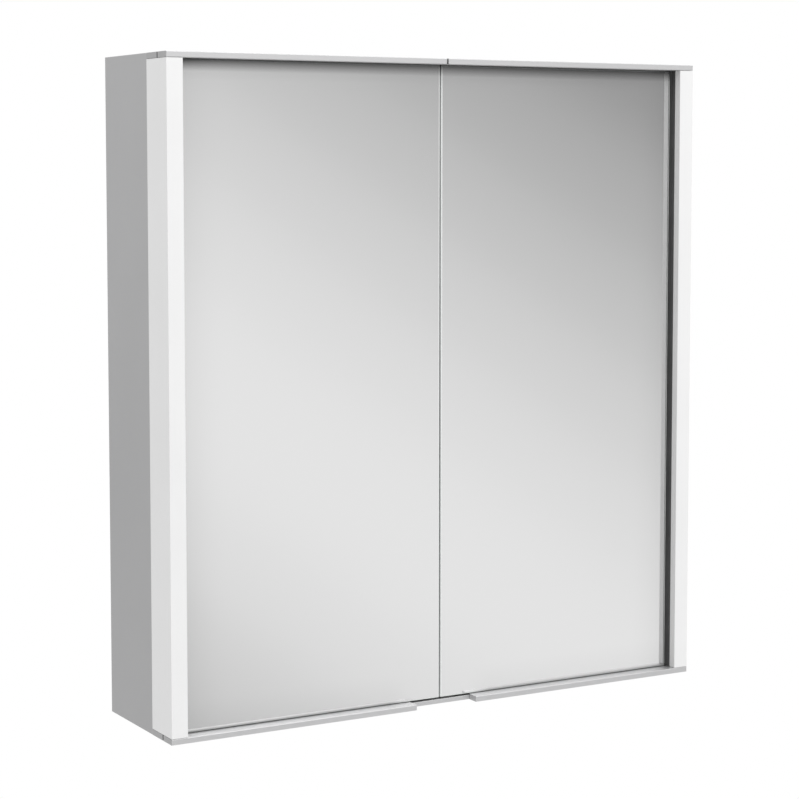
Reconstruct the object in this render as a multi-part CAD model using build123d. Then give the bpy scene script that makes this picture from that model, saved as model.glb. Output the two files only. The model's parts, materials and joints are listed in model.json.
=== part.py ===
from build123d import *
import math
import os

# Wall-hung mirror cabinet with two doors and a light column down each front side edge.
# X runs across, Y runs from the front to the wall, Z runs up.
# The origin is on the wall plane, in the middle of the four wall screws. Lengths are in millimetres.

# Whole cabinet
width = 650.0
height = 700.0
depth = 160.0

# Body sheets. The door rails are as high as the top and bottom panels that they lie level with.
panel_thickness = 6.0
side_thickness = 4.0
back_thickness = 2.0
inner_side_thickness = 2.0
sheet_edge_radius = 0.4

# Light columns
column_width = 18.0
column_depth = 49.5
opal_wall = 2.0
opal_lip_depth = 9.0
opal_edge_radius = 0.4
opal_hook_reach = 3.0
opal_hook_thickness = 1.5
carrier_wall = 2.0
led_board_width = 10.0
led_board_thickness = 1.5
led_board_setback = 20.0
led_end_gap = 3.0
led_size = 3.0
led_thickness = 0.8
led_pitch = 20.0
led_plug_height = 10.0
led_plug_reach = 8.5

# Doors
ledge_depth = 14.0
rail_end_depth = 21.5
rail_edge_radius = 0.6
web_thickness = 0.9
flange_height = 14.0
mirror_setback = 15.0
glass_thickness = 3.0
core_thickness = 1.5
glass_edge_gap = 0.8
gasket_inset = 0.5
mirror_side_gap = 3.0
centre_gap = 2.0
finger_gap = 75.0
bevel_width = 1.2
bevel_depth = 0.5
seal_width = 14.5
seal_strip_thickness = 0.7

# Door pivots
pivot_setback = 8.0
pin_radius = 2.5
pin_length = 9.0
pin_grip = 4.0
bush_wall = 1.5
bush_length = 10.0
bush_flange_radius = 6.0
bush_flange_thickness = 0.3
pivot_block_length = 42.0
pivot_block_height = 14.0

# Inside of the cabinet
back_mirror_thickness = 3.0
pad_thickness = 5.0
pad_width = 20.0
pad_spacing = 130.0
pad_end_gap = 44.0
shelf_thickness = 5.0
shelf_setback = 44.0
shelf_hole_pitch = 32.0
shelf_hole_front_inset = 16.0
shelf_hole_rear_inset = 15.0
shelf_hole_rows = 15
lowest_shelf_row = 1
rows_between_shelves = 5
shelf_pin_radius = 2.5
support_reach = 10.0
support_width = 10.0
support_height = 4.0
catch_offset = 30.0
catch_width = 40.0
catch_length = 15.0
catch_height = 12.0
magnet_width = 24.0
magnet_length = 4.0
magnet_height = 6.0
strike_width = 36.0
strike_thickness = 0.8
bumper_width = 12.0
bumper_length = 17.0
bumper_height = 10.0
corner_block_length = 30.0
corner_block_height = 20.0
corner_block_rear_gap = 8.0

# Screws that hold the panels to the pivot blocks and the corner blocks
screw_radius = 1.75
screw_head_radius = 3.6
screw_head_height = 2.2
screw_length = 14.0
screw_drive_radius = 1.3
screw_drive_depth = 1.2
pivot_screw_setback = 36.0

# Wall fixing and cable inlet
wall_screw_side_inset = 125.0
wall_screw_end_inset = 60.0
wall_hole_radius = 3.25
cap_radius = 11.0
cap_plug_radius = 8.0
cap_thickness = 2.5
inlet_radius = 10.0
inlet_bore_radius = 6.0
grommet_flange_radius = 13.0
grommet_flange_thickness = 1.5

# Light wiring
driver_thickness = 10.5
driver_length = 40.0
driver_drop = 80.0
driver_rise = 7.0
lead_radius = 1.5
lead_drop = 26.0
lead_bend_radius = 8.0
wire_hole_radius = 4.0
wire_hole_inset = 5.0

# Electric box with a socket and the light switch
box_width = 76.0
box_depth = 55.0
box_height = 82.0
box_wall = 2.0
box_boss = 8.0
box_boss_length = 15.0
cover_thickness = 2.5
cover_screw_radius = 1.5
cover_screw_head_radius = 3.0
cover_screw_head_height = 1.5
cover_screw_length = 10.0
socket_inset = 26.0
socket_flange_radius = 24.0
socket_flange_thickness = 2.0
socket_wall = 2.0
socket_recess_radius = 19.5
socket_recess_depth = 17.5
socket_floor = 4.5
socket_pole_spacing = 19.0
socket_pole_radius = 2.5
socket_shutter_thickness = 2.0
contact_radius = 3.2
contact_length = 12.0
switch_inset = 13.5
switch_flange_width = 16.0
switch_flange_height = 23.0
switch_flange_thickness = 1.5
switch_body_width = 13.6
switch_body_height = 20.4
switch_body_length = 14.0
switch_floor = 3.0
rocker_width = 10.8
rocker_height = 16.4
rocker_proud = 2.6
rocker_depth = 9.6
rocker_axis_depth = 3.0
rocker_dish = 0.7
rocker_pin_radius = 1.2
rocker_pin_length = 0.8
rocker_tilt = 8.0

# Clearances
running_gap = 0.4
sweep_clearance = 1.5
rebate_clearance = 6.5
close_fit = 0.02
pin_clearance = 0.05
snap_gap = 0.2
touch_gap = 0.3
glass_clearance = 0.5
shelf_clearance = 1.0
switch_side_clearance = 0.2
switch_swing_clearance = 1.0

# Places that follow from those sizes. Setbacks are measured back from the front plane.
half_width = width / 2
half_height = height / 2
inner_top = half_height - panel_thickness
body_inner_x = half_width - side_thickness
column_inner_x = half_width - column_width
column_top = inner_top - running_gap
carrier_outer_x = column_inner_x + carrier_wall
opal_inner_x = half_width - opal_wall
pivot_x = half_width - column_width / 2
tongue_setback = ledge_depth + running_gap
glass_back = mirror_setback + glass_thickness
core_back = glass_back + core_thickness
door_back = core_back + glass_thickness
rebate_back = door_back + rebate_clearance
mirror_outer_x = column_inner_x - mirror_side_gap
mirror_top = inner_top - glass_edge_gap
door_inner_x = centre_gap / 2

# The rail's deep end turns inside a round notch in the panel's front corner.
notch_radius = math.hypot(column_width / 2, rail_end_depth - pivot_setback) + sweep_clearance
notch_back = pivot_setback + notch_radius

back_front = depth - back_thickness
mirror_pad_front = back_front - pad_thickness
back_mirror_front = mirror_pad_front - back_mirror_thickness
corner_block_setback = back_front - corner_block_rear_gap - corner_block_length
shelf_hole_setbacks = (shelf_setback + shelf_hole_front_inset, back_mirror_front - shelf_hole_rear_inset)
cavity_inner_x = column_inner_x + inner_side_thickness
lead_x = (cavity_inner_x + body_inner_x) / 2
lead_z = inner_top - lead_drop
box_front = back_mirror_front - box_depth
cover_front = box_front - cover_thickness
wire_hole_setback = box_front + wire_hole_inset
driver_setback = wire_hole_setback - driver_length / 2
socket_x = column_inner_x - box_width + socket_inset
switch_x = column_inner_x - switch_inset
box_mid_z = inner_top - box_height / 2
box_inner_x = column_inner_x - box_width
box_bottom = inner_top - box_height
catch_front = door_back + strike_thickness + touch_gap
led_end = column_top - pivot_block_height - led_end_gap
led_face_x = carrier_outer_x + led_board_thickness
led_back = led_board_setback + led_board_width


def block(across, back, up):
    size = [high - low for low, high in (across, back, up)]
    middle = [(low + high) / 2 for low, high in (across, back, up)]
    return Pos(middle[0], middle[1] - depth, middle[2]) * Box(*size)


def upright_rod(radius, x, setback, up):
    return Pos(x, setback - depth, sum(up) / 2) * Cylinder(radius, up[1] - up[0])


def cross_rod(radius, across, setback, z):
    return Pos(sum(across) / 2, setback - depth, z) * Rot(0, 90, 0) * Cylinder(radius, across[1] - across[0])


def deep_rod(radius, x, back, z):
    return Pos(x, sum(back) / 2 - depth, z) * Rot(90, 0, 0) * Cylinder(radius, back[1] - back[0])


def upside_down(shape):
    return mirror(shape, about=Plane.XY)


def other_side(shape):
    return mirror(shape, about=Plane.YZ)


def save(name, *shapes):
    shape = shapes[0] if len(shapes) == 1 else Compound(list(shapes))
    export_step(shape, f"parts/{name}.step")


def save_both_sides(name, *shapes):
    save(f"right_{name}", *shapes)
    save(f"left_{name}", *[other_side(shape) for shape in shapes])


# Screws stand upright with the head at the outer face of the top panel.
panel_screw_places = [
    (pivot_x, pivot_screw_setback),
    (lead_x, corner_block_setback + corner_block_length / 2),
]


def panel_screw(x, setback, spare):
    shank = upright_rod(screw_radius + spare, x, setback, (half_height - screw_length, half_height))
    head = Cone(screw_radius + spare, screw_head_radius + spare, screw_head_height)
    return shank + Pos(x, setback - depth, half_height - screw_head_height / 2) * head


def finished_screw(x, setback):
    drive = extrude(RegularPolygon(screw_drive_radius, 6), screw_drive_depth)
    return panel_screw(x, setback, 0) - Pos(x, setback - depth, half_height - screw_drive_depth) * drive


def screw_holes():
    right = [panel_screw(x, setback, pin_clearance) for x, setback in panel_screw_places]
    return right + [other_side(hole) for hole in right]


def top_panel():
    up = (inner_top, half_height)
    rear = block((-body_inner_x, body_inner_x), (column_depth, depth), up)
    tongue = block((-half_width, half_width), (tongue_setback, column_depth), up)
    notch = upright_rod(notch_radius, pivot_x, pivot_setback, up)
    rebate_x = mirror_outer_x + running_gap
    rebate_up = (inner_top, inner_top + web_thickness + running_gap)
    rebate = block((-rebate_x, rebate_x), (tongue_setback, rebate_back), rebate_up)
    panel = rear + tongue - notch - other_side(notch) - rebate
    front_edges = panel.edges().filter_by(Axis.X).group_by(Axis.Y)[0]
    return fillet(front_edges, sheet_edge_radius) - screw_holes()


def side_panel():
    sheet = block((body_inner_x, half_width), (column_depth, depth), (-half_height, half_height))
    return fillet(sheet.edges().group_by(Axis.X)[-1], sheet_edge_radius)


def wall_screw_places():
    across = half_width - wall_screw_side_inset
    up = half_height - wall_screw_end_inset
    return [(x, z) for x in (-across, across) for z in (-up, up)]


inlet_place = (socket_x, box_mid_z)


def back_panel():
    sheet = block((-body_inner_x, body_inner_x), (back_front, depth), (-inner_top, inner_top))
    holes = [deep_rod(wall_hole_radius, x, (back_front, depth), z) for x, z in wall_screw_places()]
    inlet = deep_rod(inlet_radius, inlet_place[0], (back_front, depth), inlet_place[1])
    return sheet - holes - inlet


def back_mirror():
    across = column_inner_x - glass_clearance
    up = inner_top - glass_clearance
    through = (back_mirror_front, mirror_pad_front)
    holes = [deep_rod(cap_plug_radius + snap_gap, x, through, z) for x, z in wall_screw_places()]
    inlet = deep_rod(inlet_radius, inlet_place[0], through, inlet_place[1])
    return block((-across, across), through, (-up, up)) - holes - inlet


def back_mirror_pads():
    up = inner_top - pad_end_gap
    middles = (-pad_spacing, 0, pad_spacing)
    half = pad_width / 2
    return [block((x - half, x + half), (mirror_pad_front, back_front), (-up, up)) for x in middles]


def screw_caps():
    caps = []
    for x, z in wall_screw_places():
        disc = deep_rod(cap_radius, x, (back_mirror_front - cap_thickness, back_mirror_front), z)
        plug = deep_rod(cap_plug_radius, x, (back_mirror_front, mirror_pad_front), z)
        caps.append(disc + plug)
    return caps


def cable_grommet():
    x, z = inlet_place
    sleeve = deep_rod(inlet_radius - close_fit, x, (back_front, depth), z)
    flange = deep_rod(grommet_flange_radius, x, (back_front - grommet_flange_thickness, back_front), z)
    bore = deep_rod(inlet_bore_radius, x, (back_front - grommet_flange_thickness, depth), z)
    return sleeve + flange - bore


# Shelf holes are in two upright lines, spread evenly about the middle of the cabinet.
def shelf_hole_height(row):
    return (row - (shelf_hole_rows - 1) / 2) * shelf_hole_pitch


shelf_heights = {
    "lower": shelf_hole_height(lowest_shelf_row),
    "middle": shelf_hole_height(lowest_shelf_row + rows_between_shelves),
    "upper": shelf_hole_height(lowest_shelf_row + 2 * rows_between_shelves),
}


def inner_side():
    across = (column_inner_x, cavity_inner_x)
    wall = block(across, (column_depth, mirror_pad_front), (-inner_top, inner_top))
    heights = [shelf_hole_height(row) for row in range(shelf_hole_rows)]
    radius = shelf_pin_radius + pin_clearance
    holes = [cross_rod(radius, across, setback, z) for setback in shelf_hole_setbacks for z in heights]
    return wall - holes


def wire_hole():
    across = (column_inner_x - box_wall, cavity_inner_x)
    return cross_rod(wire_hole_radius, across, wire_hole_setback, box_mid_z)


def shelf(hole_height):
    across = column_inner_x - shelf_clearance
    bottom = hole_height + support_height / 2
    back = (shelf_setback, back_mirror_front - shelf_clearance)
    return block((-across, across), back, (bottom, bottom + shelf_thickness))


def shelf_supports():
    supports = []
    for z in shelf_heights.values():
        for setback in shelf_hole_setbacks:
            back = (setback - support_width / 2, setback + support_width / 2)
            up = (z - support_height / 2, z + support_height / 2)
            foot = block((column_inner_x - support_reach, column_inner_x), back, up)
            pin_across = (column_inner_x - support_reach, cavity_inner_x)
            pin = cross_rod(shelf_pin_radius, pin_across, setback, z)
            kept = block(pin_across, back, (z - shelf_pin_radius, up[1]))
            supports.append(foot + (pin & kept))
    return supports + [other_side(support) for support in supports]


# Light column: the carrier is an angle, and the opal cover closes it at the front and the outer side.
def light_carrier():
    up = (-column_top, column_top)
    wall = block((column_inner_x, carrier_outer_x), (opal_lip_depth + snap_gap, column_depth), up)
    rear = block((carrier_outer_x, opal_inner_x), (column_depth - carrier_wall, column_depth), up)
    lead_hole = deep_rod(lead_radius + touch_gap, lead_x, (column_depth - carrier_wall, column_depth), lead_z)
    return wall + rear - lead_hole


def opal_cover():
    up = (-column_top, column_top)
    side = block((opal_inner_x, half_width), (0, column_depth), up)
    front = block((column_inner_x, half_width), (0, opal_wall), up)
    lip = block((column_inner_x, column_inner_x + opal_wall), (0, opal_lip_depth), up)
    hook_back = column_depth - carrier_wall
    hook_front = hook_back - opal_hook_thickness
    hook = block((opal_inner_x - opal_hook_reach, opal_inner_x), (hook_front, hook_back), up)
    cover = side + front + lip + hook
    front_edges = cover.edges().filter_by(Axis.Z).group_by(Axis.Y)[0]
    return fillet(front_edges, opal_edge_radius)


def led_strip():
    across = (carrier_outer_x, led_face_x)
    back = (led_board_setback, led_back)
    strip = block(across, back, (-led_end, led_end))
    middle = sum(back) / 2
    count = int((lead_z + led_end - led_plug_height) / led_pitch)
    for number in range(count):
        z = -led_end + (number + 0.5) * led_pitch
        led_back_range = (middle - led_size / 2, middle + led_size / 2)
        up = (z - led_size / 2, z + led_size / 2)
        strip += block((led_face_x, led_face_x + led_thickness), led_back_range, up)
    plug_up = (lead_z - led_plug_height / 2, lead_z + led_plug_height / 2)
    return strip + block((led_face_x, led_face_x + led_plug_reach), back, plug_up)


# A thin strip on the column that swells to a lip beside the edge of the closed door.
def door_seal():
    front = opal_lip_depth + snap_gap - depth
    strip_x = column_inner_x - seal_strip_thickness
    lip_x = mirror_outer_x + glass_clearance
    outline = Polyline(
        (column_inner_x, front),
        (strip_x, front),
        (strip_x, mirror_setback - depth),
        (lip_x, glass_back - depth),
        (lip_x, front + seal_width),
        (column_inner_x, front + seal_width),
        close=True,
    )
    return extrude(make_face(outline), mirror_top, both=True)


def pivot_block():
    across = (carrier_outer_x, opal_inner_x - snap_gap)
    front = opal_wall + snap_gap
    back = front + pivot_block_length
    bottom = column_top - pivot_block_height
    body = block(across, (front, back), (bottom, column_top))
    foot = block(across, (notch_back, back), (column_top, inner_top))
    bore = upright_rod(
        pin_radius + pin_clearance + bush_wall + close_fit,
        pivot_x,
        pivot_setback,
        (column_top - bush_length, column_top),
    )
    return body + foot - bore - panel_screw(pivot_x, pivot_screw_setback, pin_clearance)


def pivot_bush():
    bore_radius = pin_radius + pin_clearance
    up = (column_top - bush_length, column_top)
    flange_top = column_top + bush_flange_thickness
    sleeve = upright_rod(bore_radius + bush_wall, pivot_x, pivot_setback, up)
    flange = upright_rod(bush_flange_radius, pivot_x, pivot_setback, (column_top, flange_top))
    return sleeve + flange - upright_rod(bore_radius, pivot_x, pivot_setback, (up[0], flange_top))


def corner_block():
    across = (cavity_inner_x, body_inner_x)
    back = (corner_block_setback, corner_block_setback + corner_block_length)
    x, setback = panel_screw_places[1]
    body = block(across, back, (inner_top - corner_block_height, inner_top))
    return body - panel_screw(x, setback, pin_clearance)


# Door rail with a ledge in front of the glass and a flange that is bonded between the two mirrors.
def door_rail(inner_x):
    up = (inner_top, half_height)
    glass_across = (inner_x, mirror_outer_x)
    ledge = block((inner_x, column_inner_x), (0, ledge_depth), up)
    end = block((column_inner_x, half_width), (0, rail_end_depth), up)
    web = block(glass_across, (ledge_depth, door_back), (inner_top, inner_top + web_thickness))
    flange_up = (inner_top - flange_height, inner_top)
    flange = block(glass_across, (glass_back, core_back), flange_up)
    rail = ledge + end + web + flange
    rail = fillet(rail.edges().group_by(Axis.Y)[0], rail_edge_radius)
    pin_up = (inner_top, inner_top + pin_grip)
    return rail - upright_rod(pin_radius + close_fit, pivot_x, pivot_setback, pin_up)


def outer_mirror():
    glass = block((door_inner_x, mirror_outer_x), (mirror_setback, glass_back), (-mirror_top, mirror_top))
    front = glass.faces().sort_by(Axis.Y)[0]
    return chamfer(front.edges(), bevel_width, bevel_depth, reference=front)


def inner_mirror():
    return block((door_inner_x, mirror_outer_x), (core_back, door_back), (-mirror_top, mirror_top))


def door_core():
    up = inner_top - flange_height - snap_gap
    return block((door_inner_x, mirror_outer_x), (glass_back, core_back), (-up, up))


def glass_gaskets(inner_x):
    across = (inner_x, mirror_outer_x)
    up = (mirror_top, inner_top)
    outer = block(across, (mirror_setback + gasket_inset, glass_back), up)
    inner = block(across, (core_back, door_back - gasket_inset), up)
    return [outer, inner]


def pivot_pin():
    return upright_rod(pin_radius, pivot_x, pivot_setback, (inner_top - pin_length, inner_top + pin_grip))


def strike_plate():
    across = (catch_offset - strike_width / 2, catch_offset + strike_width / 2)
    up = (inner_top - catch_height, mirror_top - glass_clearance)
    return block(across, (door_back, door_back + strike_thickness), up)


def magnet():
    across = (catch_offset - magnet_width / 2, catch_offset + magnet_width / 2)
    middle = inner_top - catch_height / 2
    up = (middle - magnet_height / 2, middle + magnet_height / 2)
    return block(across, (catch_front, catch_front + magnet_length), up)


def catch_housing():
    across = (catch_offset - catch_width / 2, catch_offset + catch_width / 2)
    body = block(across, (catch_front, catch_front + catch_length), (inner_top - catch_height, inner_top))
    return body - magnet()


def door_bumper():
    across = (catch_offset - bumper_width / 2, catch_offset + bumper_width / 2)
    front = door_back + touch_gap
    return block(across, (front, front + bumper_length), (-inner_top, -inner_top + bumper_height))


def led_driver():
    across = (cavity_inner_x, cavity_inner_x + driver_thickness)
    back = (driver_setback, driver_setback + driver_length)
    return block(across, back, (lead_z - driver_drop, lead_z + driver_rise))


def right_led_lead():
    return deep_rod(lead_radius, lead_x, (led_back, driver_setback), lead_z)


# The left lead runs back along its side cavity, across behind the back mirror and forward to the driver.
def left_led_lead():
    across_y = (mirror_pad_front + back_front) / 2 - depth
    start = (-lead_x, led_back - depth, lead_z)
    end = (lead_x, driver_setback + driver_length - depth, lead_z)
    corners = [start, (-lead_x, across_y, lead_z), (lead_x, across_y, lead_z), end]
    route = FilletPolyline(*corners, radius=lead_bend_radius)
    section = Plane(origin=start, z_dir=(0, 1, 0)) * Circle(lead_radius)
    return sweep(section, path=route)


# The cover screws go into two bosses, in opposite corners of the box.
def cover_screw_places():
    half = box_wall + box_boss / 2
    return [(box_inner_x + half, inner_top - half), (column_inner_x - half, box_bottom + half)]


def electric_box():
    across = (box_inner_x, column_inner_x)
    up = (box_bottom, inner_top)
    box = block(across, (box_front, back_mirror_front), up)
    room_across = (box_inner_x + box_wall, column_inner_x - box_wall)
    room_up = (box_bottom + box_wall, inner_top - box_wall)
    box -= block(room_across, (box_front, back_mirror_front - box_wall), room_up)
    half = box_boss / 2
    for x, z in cover_screw_places():
        boss_back = (box_front, box_front + box_boss_length)
        box += block((x - half, x + half), boss_back, (z - half, z + half))
    floor_back = (back_mirror_front - box_wall, back_mirror_front)
    inlet = deep_rod(inlet_radius, inlet_place[0], floor_back, inlet_place[1])
    return box - inlet - wire_hole() - cover_screw_holes()


def cover_screw_holes():
    radius = cover_screw_radius + pin_clearance
    back = (cover_front, cover_front + cover_screw_length)
    return [deep_rod(radius, x, back, z) for x, z in cover_screw_places()]


def cover_screws():
    screws = []
    for x, z in cover_screw_places():
        shank = deep_rod(cover_screw_radius, x, (cover_front, cover_front + cover_screw_length), z)
        head_back = (cover_front - cover_screw_head_height, cover_front)
        screws.append(shank + deep_rod(cover_screw_head_radius, x, head_back, z))
    return screws


def around_switch(wide, high, back):
    across = (switch_x - wide / 2, switch_x + wide / 2)
    return block(across, back, (box_mid_z - high / 2, box_mid_z + high / 2))


def electric_box_cover():
    plate = block((box_inner_x, column_inner_x), (cover_front, box_front), (box_bottom, inner_top))
    socket_radius = socket_recess_radius + socket_wall + snap_gap
    socket_hole = deep_rod(socket_radius, socket_x, (cover_front, box_front), box_mid_z)
    switch_wide = switch_body_width + 2 * snap_gap
    switch_high = switch_body_height + 2 * snap_gap
    switch_hole = around_switch(switch_wide, switch_high, (cover_front, box_front))
    return plate - socket_hole - switch_hole - cover_screw_holes()


socket_front = cover_front - socket_flange_thickness
socket_floor_front = socket_front + socket_recess_depth
socket_back = socket_floor_front + socket_floor
pole_places = (socket_x - socket_pole_spacing / 2, socket_x + socket_pole_spacing / 2)


def socket_insert():
    body = deep_rod(socket_recess_radius + socket_wall, socket_x, (cover_front, socket_back), box_mid_z)
    body += deep_rod(socket_flange_radius, socket_x, (socket_front, cover_front), box_mid_z)
    body -= deep_rod(socket_recess_radius, socket_x, (socket_front, socket_floor_front), box_mid_z)
    shutter_back = socket_floor_front + socket_shutter_thickness
    for x in pole_places:
        body -= deep_rod(socket_pole_radius, x, (socket_floor_front, shutter_back), box_mid_z)
        body -= deep_rod(contact_radius + close_fit, x, (shutter_back, socket_back), box_mid_z)
    return body


def socket_contacts():
    front = socket_floor_front + socket_shutter_thickness
    back = (front, front + contact_length)
    sleeves = []
    for x in pole_places:
        sleeve = deep_rod(contact_radius, x, back, box_mid_z)
        sleeves.append(sleeve - deep_rod(socket_pole_radius, x, back, box_mid_z))
    return sleeves


rocker_axis_setback = cover_front + rocker_axis_depth
rocker_pin_reach = rocker_width / 2 + rocker_pin_length
rocker_axis = Pos(switch_x, rocker_axis_setback - depth, box_mid_z)


def rocker_pins(spare):
    across = (switch_x - rocker_pin_reach - spare, switch_x + rocker_pin_reach + spare)
    return cross_rod(rocker_pin_radius + spare, across, rocker_axis_setback, box_mid_z)


def switch_frame():
    flange_front = cover_front - switch_flange_thickness
    body_back = cover_front + switch_body_length
    frame = around_switch(switch_flange_width, switch_flange_height, (flange_front, cover_front))
    frame += around_switch(switch_body_width, switch_body_height, (cover_front, body_back))
    wide = rocker_width + 2 * switch_side_clearance
    high = rocker_height + 2 * switch_swing_clearance
    frame -= around_switch(wide, high, (flange_front, body_back - switch_floor))
    return frame - rocker_pins(pin_clearance)


# The rocker is dished along its length and rests tilted, in its off position.
def switch_rocker():
    front = -rocker_axis_depth - rocker_proud
    half = rocker_height / 2
    outline = Polyline(
        (front, half),
        (front + rocker_dish, 0),
        (front, -half),
        (front + rocker_depth, -half),
        (front + rocker_depth, half),
        close=True,
    )
    section = Plane(origin=(-rocker_width / 2, 0, 0), x_dir=(0, 1, 0), z_dir=(1, 0, 0)) * make_face(outline)
    paddle = extrude(section, rocker_width)
    pins = Rot(0, 90, 0) * Cylinder(rocker_pin_radius, 2 * rocker_pin_reach)
    return rocker_axis * Rot(-rocker_tilt, 0, 0) * (paddle + pins)


os.makedirs("parts", exist_ok=True)

save("top_panel", top_panel())
save("bottom_panel", upside_down(top_panel()))
save_both_sides("side_panel", side_panel())
save("back_panel", back_panel())
save("back_mirror", back_mirror())
save("back_mirror_pads", *back_mirror_pads())
save("screw_caps", *screw_caps())
save("cable_grommet", cable_grommet())
save("right_inner_side", inner_side() - wire_hole())
save("left_inner_side", other_side(inner_side()))
for name, hole_height in shelf_heights.items():
    save(f"{name}_shelf", shelf(hole_height))
save("shelf_supports", *shelf_supports())

save_both_sides("light_carrier", light_carrier())
save_both_sides("opal_cover", opal_cover())
save_both_sides("led_strip", led_strip())
save_both_sides("door_seal", door_seal())
save_both_sides("pivot_blocks", pivot_block(), upside_down(pivot_block()))
save_both_sides("pivot_bushes", pivot_bush(), upside_down(pivot_bush()))

corner_blocks = [corner_block(), other_side(corner_block())]
save("corner_blocks", *corner_blocks, *[upside_down(piece) for piece in corner_blocks])
panel_screws = [finished_screw(x, setback) for x, setback in panel_screw_places]
panel_screws += [other_side(screw) for screw in panel_screws]
save("panel_screws", *panel_screws, *[upside_down(screw) for screw in panel_screws])

finger_gap_edge = finger_gap / 2
save_both_sides("top_rail", door_rail(door_inner_x))
save_both_sides("bottom_rail", upside_down(door_rail(finger_gap_edge)))
save_both_sides("outer_mirror", outer_mirror())
save_both_sides("inner_mirror", inner_mirror())
save_both_sides("door_core", door_core())
lower_gaskets = [upside_down(gasket) for gasket in glass_gaskets(finger_gap_edge)]
save_both_sides("glass_gaskets", *glass_gaskets(door_inner_x), *lower_gaskets)
save_both_sides("pivot_pins", pivot_pin(), upside_down(pivot_pin()))
save_both_sides("strike_plate", strike_plate())

save("magnetic_catches", catch_housing(), other_side(catch_housing()))
save("catch_magnets", magnet(), other_side(magnet()))
save("door_bumpers", door_bumper(), other_side(door_bumper()))

save("led_driver", led_driver())
save("right_led_lead", right_led_lead())
save("left_led_lead", left_led_lead())

save("electric_box", electric_box())
save("electric_box_cover", electric_box_cover())
save("box_cover_screws", *cover_screws())
save("socket_insert", socket_insert())
save("socket_contacts", *socket_contacts())
save("switch_frame", switch_frame())
save("switch_rocker", switch_rocker())
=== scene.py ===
import bpy
import json
import math
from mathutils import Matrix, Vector

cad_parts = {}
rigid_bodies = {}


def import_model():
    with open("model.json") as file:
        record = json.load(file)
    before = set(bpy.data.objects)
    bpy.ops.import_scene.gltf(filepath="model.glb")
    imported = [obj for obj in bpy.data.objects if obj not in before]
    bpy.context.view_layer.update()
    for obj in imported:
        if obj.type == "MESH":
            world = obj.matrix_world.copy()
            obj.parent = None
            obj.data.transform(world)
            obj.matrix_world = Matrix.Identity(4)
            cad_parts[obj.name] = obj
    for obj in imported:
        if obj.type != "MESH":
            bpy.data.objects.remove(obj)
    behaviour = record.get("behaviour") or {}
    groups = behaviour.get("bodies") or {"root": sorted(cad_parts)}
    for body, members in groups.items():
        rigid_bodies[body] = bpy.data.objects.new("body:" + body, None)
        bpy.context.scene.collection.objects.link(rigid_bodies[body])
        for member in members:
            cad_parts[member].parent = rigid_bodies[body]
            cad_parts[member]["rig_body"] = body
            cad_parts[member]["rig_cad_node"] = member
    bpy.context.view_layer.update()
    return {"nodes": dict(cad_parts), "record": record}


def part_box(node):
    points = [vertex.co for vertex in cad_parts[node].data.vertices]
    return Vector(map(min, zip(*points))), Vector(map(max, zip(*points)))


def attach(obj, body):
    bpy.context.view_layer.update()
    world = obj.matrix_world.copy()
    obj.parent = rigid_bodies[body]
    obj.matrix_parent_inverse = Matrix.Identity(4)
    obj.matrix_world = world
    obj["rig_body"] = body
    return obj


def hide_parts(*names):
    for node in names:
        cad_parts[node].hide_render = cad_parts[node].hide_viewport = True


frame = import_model()
nodes = frame["nodes"]
bpy.ops.object.select_all(action="DESELECT")
scene = bpy.context.scene
scene.view_settings.view_transform = "Standard"
print("frame loaded:", len(nodes), "nodes")


camera = {
    "place": (-1.19228, -2.14407, 0.23825),
    "turn": 29.727,  # degrees, from straight ahead to the right
    "tip": -4.538,  # degrees above level
    "sensor": 36,
    "lens": 97.432,
    "rise": -0.08,  # the picture's middle lies below the lens axis
}


def placeCamera(values):
    turn, tip = math.radians(values["turn"]), math.radians(values["tip"])
    ahead = Vector((math.sin(turn) * math.cos(tip), math.cos(turn) * math.cos(tip), math.sin(tip)))
    bpy.ops.object.camera_add(location=values["place"])
    eye = bpy.context.object
    eye.name = "photoCamera"
    eye.rotation_euler = ahead.to_track_quat("-Z", "Y").to_euler()
    eye.data.sensor_width = values["sensor"]
    eye.data.lens = values["lens"]
    eye.data.shift_y = values["rise"]
    scene.camera = eye


placeCamera(camera)
print("camera placed")


# Adds a node: settings are its options and socket values, links are the sockets that feed it.
def put(tree, kind, settings=None, links=None):
    node = tree.nodes.new(kind)
    for name, value in (settings or {}).items():
        if isinstance(name, int) or name in node.inputs:
            node.inputs[name].default_value = value
        else:
            setattr(node, name, value)
    for name, source in (links or {}).items():
        tree.links.new(source, node.inputs[name])
    return node


def grey(tone):
    return (tone, tone, tone, 1)


def setRamp(ramp, stops):
    while len(ramp.color_ramp.elements) < len(stops):
        ramp.color_ramp.elements.new(0.5)
    for element, (place, tone) in zip(ramp.color_ramp.elements, stops):
        element.position = place
        element.color = grey(tone)


def newFinish(name, fixed):
    finish = bpy.data.materials.new(name)
    finish.use_nodes = True
    tree = finish.node_tree
    shader = tree.nodes["Principled BSDF"]
    for label, value in fixed.items():
        shader.inputs[label].default_value = value
    return finish, tree, shader


room = {
    "ambient": 0.76,
    "sweepAxis": (0.5547, 0.1600, 0.8165),  # the way the studio's grey sweep runs
    "sweep": [  # place from -1 to 1 along that axis, tone
        (-1.0, 0.85), (-0.45, 0.80), (-0.20, 0.49), (-0.12, 0.61), (-0.08, 0.742), (-0.04, 0.823),
        (0.0, 0.85), (0.04, 0.815), (0.08, 0.736), (0.12, 0.63), (0.16, 0.51), (0.20, 0.394),
        (0.24, 0.303), (0.28, 0.52), (0.33, 0.90), (1.0, 1.0),
    ],
}


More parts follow.
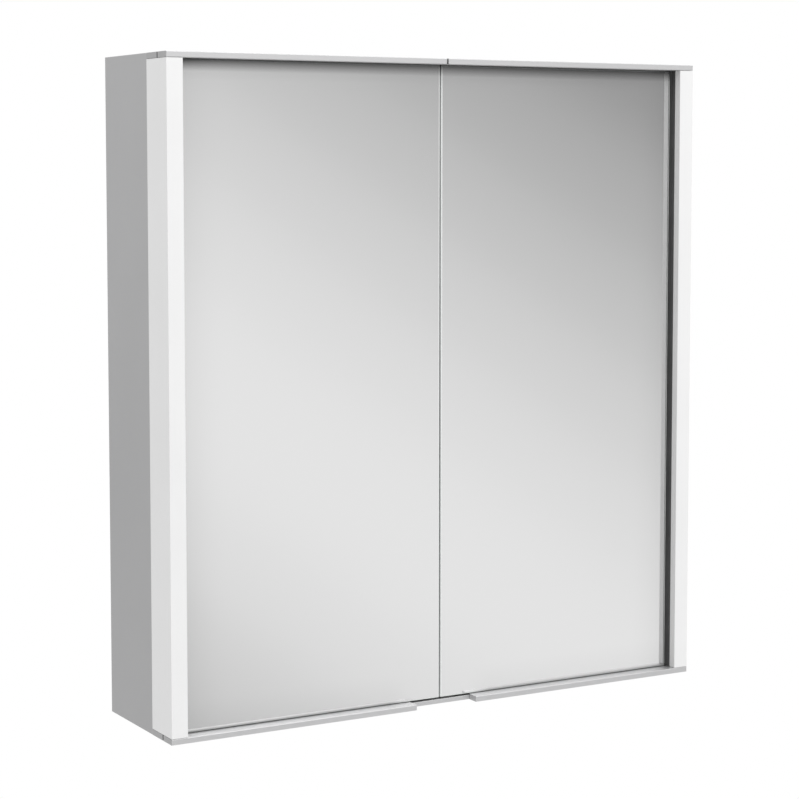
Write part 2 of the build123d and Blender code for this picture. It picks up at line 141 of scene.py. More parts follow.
# The picture sees a white room, and polished faces see the grey sweep that stands round the object.
def buildRoom(values):
    world = bpy.data.worlds.new("studio")
    scene.world = world
    world.use_nodes = True
    tree = world.node_tree
    tree.nodes.clear()
    way = put(tree, "ShaderNodeTexCoord")
    along = put(tree, "ShaderNodeVectorMath", {"operation": "DOT_PRODUCT", 1: values["sweepAxis"]},
                {0: way.outputs["Generated"]})
    half = put(tree, "ShaderNodeMath", {"operation": "MULTIPLY_ADD", 1: 0.5, 2: 0.5},
               {0: along.outputs["Value"]})
    ramp = put(tree, "ShaderNodeValToRGB", {}, {"Fac": half.outputs[0]})
    ramp.color_ramp.interpolation = "CARDINAL"
    setRamp(ramp, [(0.5 + place / 2, tone) for place, tone in values["sweep"]])
    light = put(tree, "ShaderNodeLightPath")
    ambient = put(tree, "ShaderNodeBackground", {"Color": grey(1), "Strength": values["ambient"]})
    white = put(tree, "ShaderNodeBackground", {"Color": grey(1)})
    sweep = put(tree, "ShaderNodeBackground", {}, {"Color": ramp.outputs["Color"]})
    seen = put(tree, "ShaderNodeMath", {"operation": "MAXIMUM"},
               {0: light.outputs["Is Camera Ray"], 1: light.outputs["Is Transmission Ray"]})
    polished = put(tree, "ShaderNodeMixShader", {},
                   {0: light.outputs["Is Glossy Ray"], 1: ambient.outputs[0], 2: sweep.outputs[0]})
    mixed = put(tree, "ShaderNodeMixShader", {},
                {0: seen.outputs[0], 1: polished.outputs[0], 2: white.outputs[0]})
    put(tree, "ShaderNodeOutputWorld", {}, {"Surface": mixed.outputs[0]})


buildRoom(room)

lamps = {
    "frontLamp": {"place": (0.5, -2.6, 2.7), "size": 2.4, "power": 36},
    "topLamp": {"place": (-0.3, -1.2, 2.6), "size": 2.2, "power": 14},
}


# Each lamp looks at the middle of the object.
def hangLamps(lampList):
    for name, values in lampList.items():
        bpy.ops.object.light_add(type="AREA", location=values["place"])
        lamp = bpy.context.object
        lamp.name = name
        lamp.data.size = values["size"]
        lamp.data.energy = values["power"]
        lamp.rotation_euler = (-Vector(values["place"])).to_track_quat("-Z", "Y").to_euler()


hangLamps(lamps)

floor = {"height": -1.55, "radius": 3.0, "sides": 96, "fadeFrom": 1.0, "tone": 0.9, "rough": 0.9}


# A pale disc that takes the shadow and fades out towards its rim.
def layFloor(values):
    bpy.ops.mesh.primitive_circle_add(vertices=values["sides"], radius=values["radius"], fill_type="NGON",
                                      location=(0, 0, values["height"]))
    disc = bpy.context.object
    disc.name = "floor"
    pale, tree, shader = newFinish("floorPale", {"Base Color": grey(values["tone"]),
                                                 "Roughness": values["rough"]})
    spot = put(tree, "ShaderNodeTexCoord")
    reach = put(tree, "ShaderNodeVectorMath", {"operation": "LENGTH"}, {0: spot.outputs["Object"]})
    fade = put(tree, "ShaderNodeMapRange",
               {"interpolation_type": "SMOOTHSTEP", "From Min": values["fadeFrom"],
                "From Max": values["radius"], "To Min": 1.0, "To Max": 0.0},
               {"Value": reach.outputs["Value"]})
    tree.links.new(fade.outputs["Result"], shader.inputs["Alpha"])
    disc.data.materials.append(pale)


layFloor(floor)
print("room lit")


def newGroup(name, inputs, outputs):
    group = bpy.data.node_groups.new(name, "ShaderNodeTree")
    for label, kind, value in inputs:
        group.interface.new_socket(label, in_out="INPUT", socket_type=kind).default_value = value
    for label, kind in outputs:
        group.interface.new_socket(label, in_out="OUTPUT", socket_type=kind)
    return group, put(group, "NodeGroupInput"), put(group, "NodeGroupOutput")


# Fine drawn lines: Stretch gives how many to the metre along each axis.
def grainGroup():
    group, given, made = newGroup(
        "drawnGrain",
        [("Stretch", "NodeSocketVector", (40, 4000, 4000)), ("Low", "NodeSocketFloat", 0.0),
         ("High", "NodeSocketFloat", 1.0)],
        [("Grain", "NodeSocketFloat"), ("Level", "NodeSocketFloat")])
    spot = put(group, "ShaderNodeTexCoord")
    drawn = put(group, "ShaderNodeVectorMath", {"operation": "MULTIPLY"},
                {0: spot.outputs["Object"], 1: given.outputs["Stretch"]})
    noise = put(group, "ShaderNodeTexNoise", {"Scale": 1.0, "Detail": 3.0, "Roughness": 0.6},
                {"Vector": drawn.outputs[0]})
    level = put(group, "ShaderNodeMapRange", {"From Min": 0.3, "From Max": 0.7},
                {"Value": noise.outputs["Fac"], "To Min": given.outputs["Low"],
                 "To Max": given.outputs["High"]})
    group.links.new(noise.outputs["Fac"], made.inputs["Grain"])
    group.links.new(level.outputs["Result"], made.inputs["Level"])
    return group


# Soft patches left by handling and cleaning, as a level between Low and High.
def hazeGroup():
    group, given, made = newGroup(
        "handledHaze",
        [("Scale", "NodeSocketFloat", 9.0), ("Low", "NodeSocketFloat", 0.0),
         ("High", "NodeSocketFloat", 1.0)],
        [("Level", "NodeSocketFloat")])
    spot = put(group, "ShaderNodeTexCoord")
    noise = put(group, "ShaderNodeTexNoise", {"Detail": 4.0, "Roughness": 0.55, "Distortion": 0.4},
                {"Vector": spot.outputs["Object"], "Scale": given.outputs["Scale"]})
    level = put(group, "ShaderNodeMapRange", {"From Min": 0.38, "From Max": 0.72},
                {"Value": noise.outputs["Fac"], "To Min": given.outputs["Low"],
                 "To Max": given.outputs["High"]})
    group.links.new(level.outputs["Result"], made.inputs["Level"])
    return group


# Small even bumps, as on moulded plastic and rubber.
def mouldGroup():
    group, given, made = newGroup("mouldedSkin", [("Scale", "NodeSocketFloat", 1500.0)],
                                  [("Height", "NodeSocketFloat")])
    spot = put(group, "ShaderNodeTexCoord")
    cells = put(group, "ShaderNodeTexVoronoi", {"feature": "SMOOTH_F1", "Smoothness": 0.7},
                {"Vector": spot.outputs["Object"], "Scale": given.outputs["Scale"]})
    group.links.new(cells.outputs["Distance"], made.inputs["Height"])
    return group


# How near a point is to the rim of a pair of doors: 1 at the rim, 0 further in than that rim's reach.
def rimGroup():
    group, given, made = newGroup(
        "rimShade",
        [("Half Width", "NodeSocketFloat", 0.3), ("Half Height", "NodeSocketFloat", 0.34),
         ("Side Reach", "NodeSocketFloat", 0.05), ("Top Reach", "NodeSocketFloat", 0.01),
         ("Foot Reach", "NodeSocketFloat", 0.01)],
        [("Side", "NodeSocketFloat"), ("Top", "NodeSocketFloat"), ("Foot", "NodeSocketFloat")])
    spot = put(group, "ShaderNodeTexCoord")
    place = put(group, "ShaderNodeSeparateXYZ", {}, {0: spot.outputs["Object"]})
    across = put(group, "ShaderNodeMath", {"operation": "ABSOLUTE"}, {0: place.outputs["X"]})
    side = put(group, "ShaderNodeMath", {"operation": "SUBTRACT"},
               {0: given.outputs["Half Width"], 1: across.outputs[0]})
    top = put(group, "ShaderNodeMath", {"operation": "SUBTRACT"},
              {0: given.outputs["Half Height"], 1: place.outputs["Z"]})
    foot = put(group, "ShaderNodeMath", {"operation": "ADD"},
               {0: given.outputs["Half Height"], 1: place.outputs["Z"]})
    for distance, label in ((side, "Side"), (top, "Top"), (foot, "Foot")):
        shade = put(group, "ShaderNodeMapRange", {"To Min": 1.0, "To Max": 0.0},
                    {"Value": distance.outputs[0], "From Max": given.outputs[label + " Reach"]})
        group.links.new(shade.outputs["Result"], made.inputs[label])
    return group


grain = grainGroup()
haze = hazeGroup()
mould = mouldGroup()
rim = rimGroup()


def useGroup(tree, group, settings):
    node = tree.nodes.new("ShaderNodeGroup")
    node.node_tree = group
    for name, value in settings.items():
        node.inputs[name].default_value = value
    return node


# One coordinate without its sign.
def sizeOf(tree, source, axis):
    parts = put(tree, "ShaderNodeSeparateXYZ", {}, {0: source})
    return put(tree, "ShaderNodeMath", {"operation": "ABSOLUTE"}, {0: parts.outputs[axis]}).outputs[0]


# Goes from start to end while the source goes through the span.
def levelOf(tree, source, span, start=0.0, end=1.0):
    level = put(tree, "ShaderNodeMapRange",
                {"From Min": span[0], "From Max": span[1], "To Min": start, "To Max": end},
                {"Value": source})
    return level.outputs["Result"]


def twoTones(tree, shader, level, dark, light):
    mix = put(tree, "ShaderNodeMix", {"data_type": "RGBA", 6: (*dark, 1), 7: (*light, 1)}, {0: level})
    tree.links.new(mix.outputs[2], shader.inputs["Base Color"])


# Paints shade into the finish where the level is below 1.
def paintShadeBy(tree, shader, level):
    skin = shader.inputs["Base Color"].links[0].from_socket
    toned = put(tree, "ShaderNodeMix", {"data_type": "RGBA", "blend_type": "MULTIPLY", 0: 1.0},
                {6: skin, 7: level})
    tree.links.new(toned.outputs[2], shader.inputs["Base Color"])


def rubBy(tree, shader, scale, rough):
    rubbed = useGroup(tree, haze, {"Scale": scale, "Low": rough[0], "High": rough[1]})
    tree.links.new(rubbed.outputs["Level"], shader.inputs["Roughness"])


def bumpUp(tree, shader, height, strength, distance):
    bump = put(tree, "ShaderNodeBump", {"Strength": strength, "Distance": distance}, {"Height": height})
    tree.links.new(bump.outputs["Normal"], shader.inputs["Normal"])


metalSkin = {
    "patch": 6.0, "patchShare": 0.3, "lineShare": 0.5, "depth": 0.00005,
    "endFaces": (0.85, 0.95),  # how squarely a face looks along the bar before it counts as its end
    "notchRim": (0.00003, 0.00008),  # how far past the notch's wall the painted shade stops
}


# The end faces of the bars are painted darker than their drawn faces: painted shade.
def shadeEnds(tree, shader, tone):
    spot = put(tree, "ShaderNodeTexCoord")
    along = sizeOf(tree, spot.outputs["Normal"], "X")
    paintShadeBy(tree, shader, levelOf(tree, along, metalSkin["endFaces"], 1.0, tone))


# The walls of the round notches that the rail ends turn in get painted shade.
def shadeNotches(tree, shader, values):
    spot = put(tree, "ShaderNodeTexCoord")
    flat = put(tree, "ShaderNodeVectorMath", {"operation": "MULTIPLY", 1: (1, 1, 0)},
               {0: spot.outputs["Object"]})
    folded = put(tree, "ShaderNodeVectorMath", {"operation": "ABSOLUTE"}, {0: flat.outputs[0]})
    reach = put(tree, "ShaderNodeVectorMath", {"operation": "DISTANCE", 1: values["pivot"]},
                {0: folded.outputs[0]})
    wall = [values["notchRadius"] + past for past in metalSkin["notchRim"]]
    paintShadeBy(tree, shader, levelOf(tree, reach.outputs["Value"], wall, values["notchShade"], 1.0))


def metalFinish(name, values):
    finish, tree, shader = newFinish(name, {"Metallic": 1.0})
    low, high = values["rough"]
    lines = useGroup(tree, grain, {"Stretch": values["lines"], "Low": low, "High": high})
    patches = useGroup(tree, haze, {"Scale": metalSkin["patch"]})
    part = put(tree, "ShaderNodeMath", {"operation": "MULTIPLY", 1: metalSkin["patchShare"]},
               {0: patches.outputs["Level"]})
    blend = put(tree, "ShaderNodeMath", {"operation": "MULTIPLY_ADD", 1: metalSkin["lineShare"]},
                {0: lines.outputs["Grain"], 2: part.outputs[0]})
    twoTones(tree, shader, blend.outputs[0], values["dark"], values["light"])
    tree.links.new(lines.outputs["Level"], shader.inputs["Roughness"])
    bumpUp(tree, shader, lines.outputs["Grain"], values["bump"], metalSkin["depth"])
    # painted shade on the end faces of the bars
    if "endShade" in values:
        shadeEnds(tree, shader, values["endShade"])
    # painted shade on the notch walls, so the joint lines read dark
    if "notchShade" in values:
        shadeNotches(tree, shader, values)
    return finish


# The rails' finish and the uprights' finish are lit and shaded copies of one anodised finish: painted light
# on the rails and panels, painted shade on the uprights. The end tone and the notch tone are painted shade
# too.
metals = {
    "anodised_aluminium": {"dark": (0.695, 0.695, 0.70), "light": (0.765, 0.765, 0.77), "rough": (0.47, 0.57),
                           "lines": (28, 2600, 2600), "bump": 0.3, "endShade": 0.78},
    "anodised_upright_shaded": {"dark": (0.55, 0.55, 0.555), "light": (0.61, 0.61, 0.615), "rough": (0.34, 0.44),
                         "lines": (2600, 2600, 28), "bump": 0.3},
    "bright_metal": {"dark": (0.70, 0.70, 0.70), "light": (0.80, 0.80, 0.80), "rough": (0.14, 0.24),
                     "lines": (900, 900, 900), "bump": 0.05},
    "plain_steel": {"dark": (0.50, 0.50, 0.50), "light": (0.60, 0.60, 0.60), "rough": (0.28, 0.42),
                    "lines": (1200, 1200, 1200), "bump": 0.15},
    "cast_alloy": {"dark": (0.46, 0.46, 0.47), "light": (0.58, 0.58, 0.59), "rough": (0.45, 0.6),
                   "lines": (1800, 1800, 1800), "bump": 0.5},
    "contact_brass": {"dark": (0.62, 0.47, 0.22), "light": (0.74, 0.58, 0.30), "rough": (0.22, 0.36),
                      "lines": (700, 700, 700), "bump": 0.1},
}
hinge = frame["record"]["behaviour"]["joints"][0]["pos_m"]
metals["anodised_panel"] = dict(metals["anodised_aluminium"], notchShade=0.12, notchRadius=0.01773,
                                pivot=(abs(hinge[0]), abs(hinge[1]), 0))

backSheet = {"metallic": 0.75, "flakes": 95.0, "dark": (0.57, 0.58, 0.59), "light": (0.62, 0.63, 0.64),
             "rough": (0.38, 0.47), "lines": (1500, 1500, 1500), "bump": 0.1}


# Spangled sheet: each flake has its own tone and gloss.
def backSheetFinish(values):
    finish, tree, shader = newFinish("back_sheet", {"Metallic": values["metallic"]})
    spot = put(tree, "ShaderNodeTexCoord")
    flakes = put(tree, "ShaderNodeTexVoronoi", {"Scale": values["flakes"]},
                 {"Vector": spot.outputs["Object"]})
    tone = put(tree, "ShaderNodeSeparateXYZ", {}, {0: flakes.outputs["Color"]})
    twoTones(tree, shader, tone.outputs["X"], values["dark"], values["light"])
    rough = levelOf(tree, tone.outputs["Y"], (0.0, 1.0), *values["rough"])
    tree.links.new(rough, shader.inputs["Roughness"])
    fine = useGroup(tree, grain, {"Stretch": values["lines"]})
    bumpUp(tree, shader, fine.outputs["Grain"], values["bump"], metalSkin["depth"])
    return finish


mirrorGlass = {
    "ior": 1.5, "silver": 0.9, "clear": 0.94, "edge": (0.85, 0.87, 0.86), "shadow": 0.01,
    "patch": 11.0, "rough": (0.015, 0.045),
    "flatFaces": (0.95, 0.985),  # how squarely a face looks to the front or back before it is mirror
    "fingerGap": (0.034, 0.062),  # no rail along the foot inside this
    "close": {"Top Reach": 0.0118, "Foot Reach": 0.0039},  # painted shade under the rails' ledges
    "closeShade": {"Top": 0.77, "Foot": 0.56},
    "wide": {"Side Reach": 0.055, "Top Reach": 0.021, "Foot Reach": 0.032},
    "wideShade": {"Side": 0.10, "Top": 0.12, "Foot": 0.055},
}


# Silvered glass: the flat faces are mirror, the cut edges are pale glass, and the rims get painted soft
# shade, darkest under the rails' ledges.
def mirrorFinish(name, values, halfWidth, halfHeight):
    finish, tree, shader = newFinish(name, {"IOR": values["ior"]})
    spot = put(tree, "ShaderNodeTexCoord")
    flat = levelOf(tree, sizeOf(tree, spot.outputs["Normal"], "Y"), values["flatFaces"])
    held = levelOf(tree, sizeOf(tree, spot.outputs["Object"], "X"), values["fingerGap"])
    total = None
    for reach in ("close", "wide"):
        shade = useGroup(tree, rim, {"Half Width": halfWidth, "Half Height": halfHeight, **values[reach]})
        eased = {"Side": shade.outputs["Side"], "Foot": held}  # fades faster, and stops at the finger gap
        for label, strength in values[reach + "Shade"].items():
            part = put(tree, "ShaderNodeMath", {"operation": "MULTIPLY", 1: strength},
                       {0: shade.outputs[label]})
            if label in eased:
                part = put(tree, "ShaderNodeMath", {"operation": "MULTIPLY"},
                           {0: part.outputs[0], 1: eased[label]})
            if total:
                part = put(tree, "ShaderNodeMath", {"operation": "ADD"},
                           {0: part.outputs[0], 1: total.outputs[0]})
            total = part
    glass = put(tree, "ShaderNodeMix",
                {"data_type": "RGBA", 6: (*values["edge"], 1), 7: grey(values["silver"])}, {0: flat})
    colour = put(tree, "ShaderNodeMix", {"data_type": "RGBA", 7: grey(values["shadow"])},
                 {0: total.outputs[0], 6: glass.outputs[2]})
    tree.links.new(colour.outputs[2], shader.inputs["Base Color"])
    veiled = put(tree, "ShaderNodeMath", {"operation": "MULTIPLY", 1: values["clear"]}, {0: flat})
    tree.links.new(veiled.outputs[0], shader.inputs["Metallic"])  # a thin veil of dust on the silver
    rubBy(tree, shader, values["patch"], values["rough"])
    return finish


plasticSkin = {"ior": 1.49, "rubbed": 2.3, "depth": 0.0001}  # rubbed spots are finer than the patches


def plasticFinish(name, values):
    finish, tree, shader = newFinish(name, {"IOR": plasticSkin["ior"]})
    patches = useGroup(tree, haze, {"Scale": values["patch"]})
    twoTones(tree, shader, patches.outputs["Level"], values["dark"], values["light"])
    rubBy(tree, shader, values["patch"] * plasticSkin["rubbed"], values["rough"])
    skin = useGroup(tree, mould, {"Scale": values["skin"]})
    bumpUp(tree, shader, skin.outputs["Height"], values["bump"], plasticSkin["depth"])
    return finish


opal = {
    "dark": (0.90, 0.90, 0.90), "light": (0.925, 0.925, 0.925), "rough": (0.30, 0.38),
    "patch": 7.0, "skin": 2500.0, "bump": 0.02,
    "lipShade": 0.79,  # painted shade on the thin return lip, which stands in the recess beside the mirror
    "lipEdge": 0.3072, "lipFade": 0.0003,  # from the middle of the cabinet
}


def opalFinish(values):
    finish = plasticFinish("opal_acrylic", values)
    tree = finish.node_tree
    spot = put(tree, "ShaderNodeTexCoord")
    across = sizeOf(tree, spot.outputs["Object"], "X")
    span = (values["lipEdge"], values["lipEdge"] + values["lipFade"])
    # painted shade on the return lip
    paintShadeBy(tree, tree.nodes["Principled BSDF"], levelOf(tree, across, span, values["lipShade"], 1.0))
    return finish


plastics = {
    "black_rubber": {"dark": (0.056, 0.056, 0.056), "light": (0.074, 0.074, 0.074), "rough": (0.55, 0.72),
                     "patch": 30.0, "skin": 2200.0, "bump": 0.3},
    "foam": {"dark": (0.10, 0.10, 0.10), "light": (0.16, 0.16, 0.16), "rough": (0.85, 0.95),
             "patch": 60.0, "skin": 900.0, "bump": 0.9},
    "bearing_plastic": {"dark": (0.62, 0.61, 0.58), "light": (0.70, 0.69, 0.66), "rough": (0.40, 0.52),
                        "patch": 40.0, "skin": 2400.0, "bump": 0.1},
    "white_plastic": {"dark": (0.78, 0.78, 0.77), "light": (0.83, 0.83, 0.82), "rough": (0.34, 0.46),
                      "patch": 16.0, "skin": 2000.0, "bump": 0.12},
    "rocker_plastic": {"dark": (0.80, 0.80, 0.79), "light": (0.85, 0.85, 0.84), "rough": (0.22, 0.32),
                       "patch": 40.0, "skin": 3000.0, "bump": 0.04},
    "lead_sheath": {"dark": (0.70, 0.70, 0.69), "light": (0.77, 0.77, 0.76), "rough": (0.48, 0.6),
                    "patch": 50.0, "skin": 2600.0, "bump": 0.1},
    "led_board": {"dark": (0.80, 0.81, 0.80), "light": (0.86, 0.86, 0.85), "rough": (0.32, 0.45),
                  "patch": 60.0, "skin": 2600.0, "bump": 0.05},
}

clearGlass = {"ior": 1.5, "dark": (0.955, 0.975, 0.965), "light": (0.97, 0.985, 0.98), "patch": 8.0,
              "wiped": 14.0, "rough": (0.0, 0.02)}


def clearGlassFinish(values):
    finish, tree, shader = newFinish("clear_glass", {"IOR": values["ior"], "Transmission Weight": 1.0})
    patches = useGroup(tree, haze, {"Scale": values["patch"]})
    twoTones(tree, shader, patches.outputs["Level"], values["dark"], values["light"])
    rubBy(tree, shader, values["wiped"], values["rough"])
    return finish


finishes = {name: metalFinish(name, values) for name, values in metals.items()}
finishes.update({name: plasticFinish(name, values) for name, values in plastics.items()})
finishes["opal_acrylic"] = opalFinish(opal)
finishes["back_sheet"] = backSheetFinish(backSheet)
finishes["clear_glass"] = clearGlassFinish(clearGlass)


def mirrorFor(nodeName):
    low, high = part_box(nodeName)
    return mirrorFinish(nodeName + "_silver", mirrorGlass, max(-low.x, high.x), high.z)


# The uprights take the darker copy: painted shade on the faces that look to the sides.
uprights = ("left_side_panel", "right_side_panel", "left_inner_side", "right_inner_side",
            "left_light_carrier", "right_light_carrier")  # drawn from top to bottom
notched = ("top_panel", "bottom_panel")
slotOf = {part["node"]: part["material_slot"] for part in frame["record"]["subparts"]}
for name, slotName in slotOf.items():
    if slotName == "mirror_glass":
        chosen = mirrorFor(name)
    elif name in uprights:
        chosen = finishes["anodised_upright_shaded"]
    elif name in notched:
        chosen = finishes["anodised_panel"]
    else:
        chosen = finishes[slotName]
    for place in nodes[name].material_slots:
        place.material = chosen
print("finishes on", len(nodes), "nodes")

near = 0.0001  # what is closer than this lies on the face
creaseAngle = math.radians(32)  # sharper edges than this are softened, and stay creased


def only(piece):
    bpy.ops.object.select_all(action="DESELECT")
    piece.select_set(True)
    bpy.context.view_layer.objects.active = piece


def settle(piece):
    only(piece)
    bpy.ops.object.transform_apply(location=True, rotation=True, scale=True)
    return piece


def addBlock(low, high):
    bpy.ops.object.select_all(action="DESELECT")
    bpy.ops.mesh.primitive_cube_add(size=1, location=(Vector(low) + Vector(high)) / 2)
    block = bpy.context.object
    block.scale = Vector(high) - Vector(low)
    return settle(block)


def addRod(radius, start, end, sides):
    bpy.ops.object.select_all(action="DESELECT")
    run = Vector(end) - Vector(start)
    bpy.ops.mesh.primitive_cylinder_add(vertices=sides, radius=radius, depth=run.length,
                                        location=(Vector(start) + Vector(end)) / 2,
                                        rotation=run.to_track_quat("Z", "Y").to_euler())
    return settle(bpy.context.object)


def copyPiece(piece, shift):
    only(piece)
    bpy.ops.object.duplicate(linked=False)
    bpy.context.object.location = shift
    return settle(bpy.context.object)


def joinPieces(pieces):
    only(pieces[0])
    for piece in pieces:
        piece.select_set(True)
    bpy.ops.object.join()
    return bpy.context.object


def startPick(piece, kind):
    only(piece)
    bpy.ops.object.mode_set(mode="EDIT")
    bpy.ops.mesh.select_mode(type=kind)
    bpy.ops.mesh.select_all(action="DESELECT")
    bpy.ops.object.mode_set(mode="OBJECT")


# Both leave the piece in edit mode with the faces or edges that pass the test picked.
def pickFaces(piece, test):
    startPick(piece, "FACE")
    for face in piece.data.polygons:
        face.select = test(face.normal)
    bpy.ops.object.mode_set(mode="EDIT")


def pickEdges(piece, test):
    startPick(piece, "EDGE")
    spots = piece.data.vertices
    for edge in piece.data.edges:
        edge.select = test(spots[edge.vertices[0]].co, spots[edge.vertices[1]].co)
    bpy.ops.object.mode_set(mode="EDIT")


def endPick():
    bpy.ops.object.mode_set(mode="OBJECT")


def facesFront(way):
    return way.y < -0.9


# Rounds the front rim of a round head whose face lies at the given depth.
def roundRim(head, face, width, steps):
    pickEdges(head, lambda a, b: max(a.y, b.y) < face + near)
    bpy.ops.mesh.bevel(offset=width, segments=steps)
    endPick()


def softenEdges(piece, width, steps):
    only(piece)
    edge = piece.modifiers.new("softEdge", "BEVEL")
    edge.width = width
    edge.segments = steps
    edge.limit_method = "ANGLE"
    edge.angle_limit = creaseAngle
    bpy.ops.object.modifier_apply(modifier=edge.name)


def cutAway(piece, tool):
    only(piece)
    cut = piece.modifiers.new("cut", "BOOLEAN")
    cut.operation = "DIFFERENCE"
    cut.object = tool
    bpy.ops.object.modifier_apply(modifier=cut.name)
    only(tool)
    bpy.ops.object.delete()


def finishPiece(piece, name, finish, body, slotName, *stoodFor):
    only(piece)
    bpy.ops.object.shade_smooth_by_angle(angle=creaseAngle)
    piece.name = name
    piece.data.name = name
    piece.data.materials.clear()
    piece.data.materials.append(finish)
    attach(piece, body)
    if stoodFor:
        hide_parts(*stoodFor)


shelfGlass = {"cornerRadius": 0.008, "cornerSteps": 8, "arris": 0.0007, "arrisSteps": 3}


# Glass shelves with rounded front corners and polished edges.
def makeShelves(values):
    low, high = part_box("lower_shelf")
    pane = addBlock(low, high)
    pickEdges(pane, lambda a, b: abs(a.z - b.z) > near and a.y < low.y + near)
    bpy.ops.mesh.bevel(offset=values["cornerRadius"], segments=values["cornerSteps"])
    endPick()
    softenEdges(pane, values["arris"], values["arrisSteps"])
    panes = {"lower_shelf": pane}
    for name in ("middle_shelf", "upper_shelf"):
        panes[name] = copyPiece(pane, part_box(name)[0] - low)
    for name, piece in panes.items():
        finishPiece(piece, name + "_pane", finishes["clear_glass"], "cabinet", "clear_glass", name)
    print("shelves made:", len(panes))


makeShelves(shelfGlass)

softNodes = {  # node: new name, edge width, steps round the edge, body
    "electric_box": ("box_shell", 0.0012, 3, "cabinet"),
    "electric_box_cover": ("box_lid", 0.0008, 3, "cabinet"),
    "socket_insert": ("socket_face", 0.0006, 3, "cabinet"),
    "switch_frame": ("switch_bezel", 0.0004, 3, "cabinet"),
    "switch_rocker": ("rocker_paddle", 0.0005, 3, "rocker"),
    "magnetic_catches": ("catch_housings", 0.0009, 3, "cabinet"),
    "catch_magnets": ("magnet_faces", 0.0004, 2, "cabinet"),
    "door_bumpers": ("bumper_pads", 0.0022, 5, "cabinet"),
    "shelf_supports": ("shelf_studs", 0.0007, 3, "cabinet"),
    "cable_grommet": ("grommet_ring", 0.0006, 3, "cabinet"),
    "left_strike_plate": ("left_strike", 0.0002, 2, "left_door"),
    "right_strike_plate": ("right_strike", 0.0002, 2, "right_door"),
}
softCopy = {"mergeReach": 0.000002, "flatAngle": math.radians(0.5)}


# The moulded and pressed pieces lose their sharp edges.
def softenNode(nodeName, newName, width, steps, body):
    only(nodes[nodeName])
    bpy.ops.object.duplicate(linked=False)
    piece = bpy.context.object
    piece.parent = None
    del piece["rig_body"], piece["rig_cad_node"]
    bpy.ops.object.mode_set(mode="EDIT")
    bpy.ops.mesh.select_all(action="SELECT")
    bpy.ops.mesh.remove_doubles(threshold=softCopy["mergeReach"])
    bpy.ops.mesh.dissolve_limited(angle_limit=softCopy["flatAngle"])
    endPick()
    softenEdges(piece, width, steps)
    finishPiece(piece, newName, finishes[slotOf[nodeName]], body, slotOf[nodeName], nodeName)


for name, values in softNodes.items():
    softenNode(name, *values)
print("edges softened:", len(softNodes))

wallCap = {"radius": 0.011, "sides": 64, "thickness": 0.0025, "edge": 0.0016, "edgeSteps": 5,
           "plugRadius": 0.008, "plugSides": 48}


# Push-in caps over the wall screws.
def makeWallCaps(values):
    low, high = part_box("screw_caps")
    radius = values["radius"]
    middle = Vector((low.x + radius, low.y, low.z + radius))
    back = middle + Vector((0, values["thickness"], 0))
    face = addRod(radius, middle, back, values["sides"])
    roundRim(face, low.y, values["edge"], values["edgeSteps"])
    plug = addRod(values["plugRadius"], back, Vector((middle.x, high.y, middle.z)), values["plugSides"])
    cap = joinPieces([face, plug])
    across, up = high.x - low.x - 2 * radius, high.z - low.z - 2 * radius
    caps = [cap] + [copyPiece(cap, (x, 0, z)) for x, z in ((across, 0), (0, up), (across, up))]
    finishPiece(joinPieces(caps), "wall_caps", finishes["white_plastic"], "cabinet", slotOf["screw_caps"],
                "screw_caps")
    print("wall caps made:", len(caps))


makeWallCaps(wallCap)

lidScrew = {"headRadius": 0.003, "headSides": 40, "headHeight": 0.0015, "edge": 0.0009, "edgeSteps": 4,
            "slotLength": 0.0034, "slotWidth": 0.0007, "slotDepth": 0.0009,
            "shankRadius": 0.0015, "shankSides": 24}


# Cross-head screws in two corners of the box lid.
def makeLidScrews(values):
    low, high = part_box("box_cover_screws")
    radius = values["headRadius"]
    middle = Vector((low.x + radius, low.y, high.z - radius))
    back = middle + Vector((0, values["headHeight"], 0))
    head = addRod(radius, middle, back, values["headSides"])
    roundRim(head, low.y, values["edge"], values["edgeSteps"])
    longHalf, thinHalf = values["slotLength"] / 2, values["slotWidth"] / 2
    for across, up in ((longHalf, thinHalf), (thinHalf, longHalf)):
        half = Vector((across, values["slotDepth"], up))
        cutAway(head, addBlock(middle - half, middle + half))
    shank = addRod(values["shankRadius"], back, Vector((middle.x, high.y, middle.z)), values["shankSides"])
    screw = joinPieces([head, shank])
    other = copyPiece(screw, (high.x - low.x - 2 * radius, 0, low.z - high.z + 2 * radius))
    finishPiece(joinPieces([screw, other]), "lid_screws", finishes[slotOf["box_cover_screws"]], "cabinet",
                slotOf["box_cover_screws"], "box_cover_screws")
    print("lid screws made")


makeLidScrews(lidScrew)

earthClip = {"recessRadius": 0.0195, "inset": 0.0016, "start": 0.004, "width": 0.005, "length": 0.013,
             "thickness": 0.0009, "bend": 0.0012, "hook": 0.0022, "edge": 0.0002, "edgeSteps": 2}


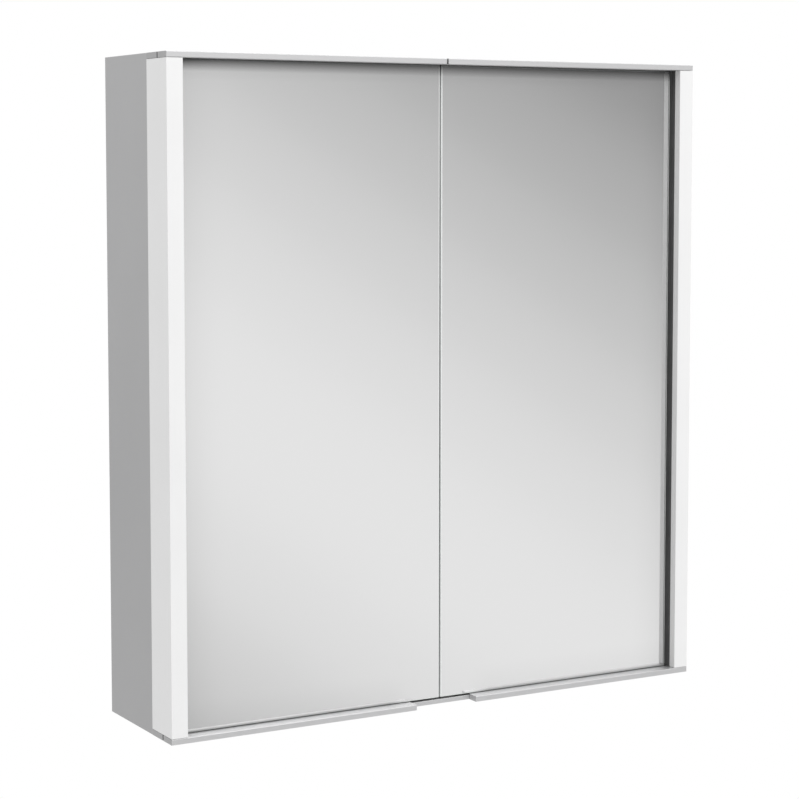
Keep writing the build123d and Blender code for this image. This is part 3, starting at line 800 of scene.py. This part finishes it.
# Two sprung earth contacts, above and below in the socket's recess.
def makeEarthClips(values):
    low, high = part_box("socket_insert")
    middle = (low + high) / 2
    top = middle.z + values["recessRadius"] - values["inset"]
    half = values["width"] / 2
    front = low.y + values["start"]
    strip = addBlock((middle.x - half, front, top - values["thickness"]),
                     (middle.x + half, front + values["length"], top))
    pickFaces(strip, facesFront)
    for drop in (-values["hook"] / 2, values["hook"]):
        bpy.ops.mesh.extrude_region_move(TRANSFORM_OT_translate={"value": (0, -values["bend"], drop)})
    endPick()
    softenEdges(strip, values["edge"], values["edgeSteps"])
    other = copyPiece(strip, (0, 0, 0))
    only(other)
    bpy.ops.transform.rotate(value=math.pi, orient_axis="Y", center_override=(middle.x, 0, middle.z))
    settle(other)
    finishPiece(joinPieces([strip, other]), "earth_clips", finishes["bright_metal"], "cabinet",
                "bright_metal")
    print("earth clips made")


makeEarthClips(earthClip)

rockerMark = {"height": 0.0002, "ringRadius": 0.0017, "ringWidth": 0.00035, "ringSteps": 40, "ringSides": 10,
              "barLength": 0.0036, "barWidth": 0.0007, "edgeSteps": 2}


# The rocker's upper or lower front face: its middle and the way it looks.
def rockerFace(upper):
    low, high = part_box("switch_rocker")
    middle = (low.z + high.z) / 2
    mesh = nodes["switch_rocker"].data
    faces = [face for face in mesh.polygons
             if facesFront(face.normal) and (face.center.z > middle) == upper]
    size = sum(face.area for face in faces)
    spot = sum((face.center * face.area for face in faces), Vector()) / size
    way = sum((face.normal * face.area for face in faces), Vector()) / size
    return spot, way.normalized()


def standOn(piece, spot, way):
    piece.rotation_euler = way.to_track_quat("Z", "Y").to_euler()
    piece.location = spot
    settle(piece)


# Raised marks: a ring for off above, a bar for on below.
def makeRockerMarks(values):
    bpy.ops.object.select_all(action="DESELECT")
    bpy.ops.mesh.primitive_torus_add(major_radius=values["ringRadius"], minor_radius=values["ringWidth"],
                                     major_segments=values["ringSteps"], minor_segments=values["ringSides"])
    ring = bpy.context.object
    ring.scale.z = values["height"] / values["ringWidth"]
    settle(ring)
    standOn(ring, *rockerFace(True))
    half = Vector((values["barWidth"] / 2, values["barLength"] / 2, values["height"]))
    bar = addBlock(-half, half)
    softenEdges(bar, values["height"] / 2, values["edgeSteps"])
    standOn(bar, *rockerFace(False))
    finishPiece(joinPieces([ring, bar]), "rocker_marks", finishes["black_rubber"], "rocker", "black_rubber")
    print("rocker marks made")


makeRockerMarks(rockerMark)
